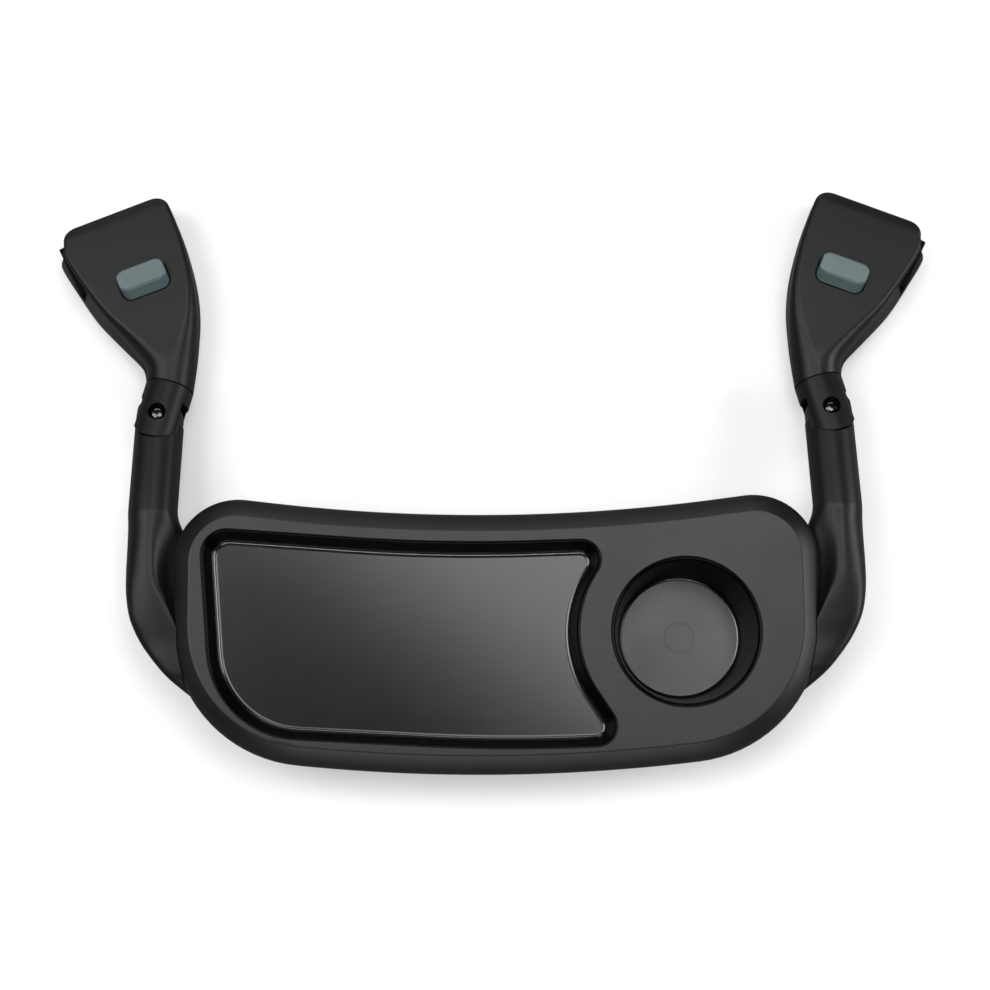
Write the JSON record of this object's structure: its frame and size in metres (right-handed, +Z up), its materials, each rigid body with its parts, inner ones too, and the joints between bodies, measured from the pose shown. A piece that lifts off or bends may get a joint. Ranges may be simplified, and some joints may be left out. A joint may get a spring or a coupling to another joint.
{
  "type": "stroller snack tray",
  "caption": "Moulded snack tray with a shaped snack well, a round cup well and hinged clip heads with release buttons on side arms.",
  "frame": {"origin": "centre of the object's box, on the plane that it stands on", "axes": "+X toward the cup well's side, +Y toward the clip heads, +Z up"},
  "size_m": [0.4852, 0.3188, 0.0464],
  "materials": {
    "tray_plastic": "satin moulded",
    "arm_plastic": "fine matte texture",
    "head_plastic": "fine matte texture",
    "socket_plastic": "plain moulded",
    "button_plastic": "fine matte texture",
    "rivet_steel": "bright zinc"
  },
  "bodies": {
    "tray": {"tray_shell": "tray_plastic", "left_arm_upper": "arm_plastic", "left_arm_cover": "arm_plastic", "left_cover_screw": "rivet_steel", "left_foot_screw_back": "rivet_steel", "left_foot_screw_front": "rivet_steel", "right_arm_upper": "arm_plastic", "right_arm_cover": "arm_plastic", "right_cover_screw": "rivet_steel", "right_foot_screw_back": "rivet_steel", "right_foot_screw_front": "rivet_steel"},
    "left_head": {"left_head_cover": "head_plastic", "left_head_base": "head_plastic", "left_knuckle_collar": "head_plastic", "left_knuckle_pin": "rivet_steel", "left_button_spring": "rivet_steel", "left_clip_socket": "socket_plastic", "left_neck_screw": "rivet_steel", "left_end_screw": "rivet_steel", "left_side_screw": "rivet_steel"},
    "left_button": {"left_release_button": "button_plastic"},
    "left_latch": {"left_latch_hook": "socket_plastic"},
    "right_head": {"right_head_cover": "head_plastic", "right_head_base": "head_plastic", "right_knuckle_collar": "head_plastic", "right_knuckle_pin": "rivet_steel", "right_button_spring": "rivet_steel", "right_clip_socket": "socket_plastic", "right_neck_screw": "rivet_steel", "right_end_screw": "rivet_steel", "right_side_screw": "rivet_steel"},
    "right_button": {"right_release_button": "button_plastic"},
    "right_latch": {"right_latch_hook": "socket_plastic"}
  },
  "joints": [
    {"name": "left_head_swing", "type": "hinge", "parent": "tray", "child": "left_head", "pos_m": [-0.1826, 0.03429, 0.02057], "axis": [0.005, 0.1907, 0.9816], "range_deg": [0, 40]},
    {"name": "left_button_press", "type": "slide", "parent": "left_head", "child": "left_button", "axis": [0, 0, -1], "range_m": [0, 0.003], "stiffness_N_per_m": 500, "springref_m": -0.003, "deforming": ["left_button_spring"]},
    {"name": "left_latch_slide", "type": "slide", "parent": "left_head", "child": "left_latch", "axis": [0.8599, 0.5105, 0], "range_m": [0, 0.003]},
    {"name": "right_head_swing", "type": "hinge", "parent": "tray", "child": "right_head", "pos_m": [0.1826, 0.03429, 0.02057], "axis": [0.005, -0.1907, -0.9816], "range_deg": [0, 40]},
    {"name": "right_button_press", "type": "slide", "parent": "right_head", "child": "right_button", "axis": [0, 0, -1], "range_m": [0, 0.003], "stiffness_N_per_m": 500, "springref_m": -0.003, "deforming": ["right_button_spring"]},
    {"name": "right_latch_slide", "type": "slide", "parent": "right_head", "child": "right_latch", "axis": [-0.8599, 0.5105, 0], "range_m": [0, 0.003]}
  ],
  "couplings": [
    {"joint": "left_latch_slide", "follows": "left_button_press", "ratio": 1},
    {"joint": "right_latch_slide", "follows": "right_button_press", "ratio": 1}
  ]
}
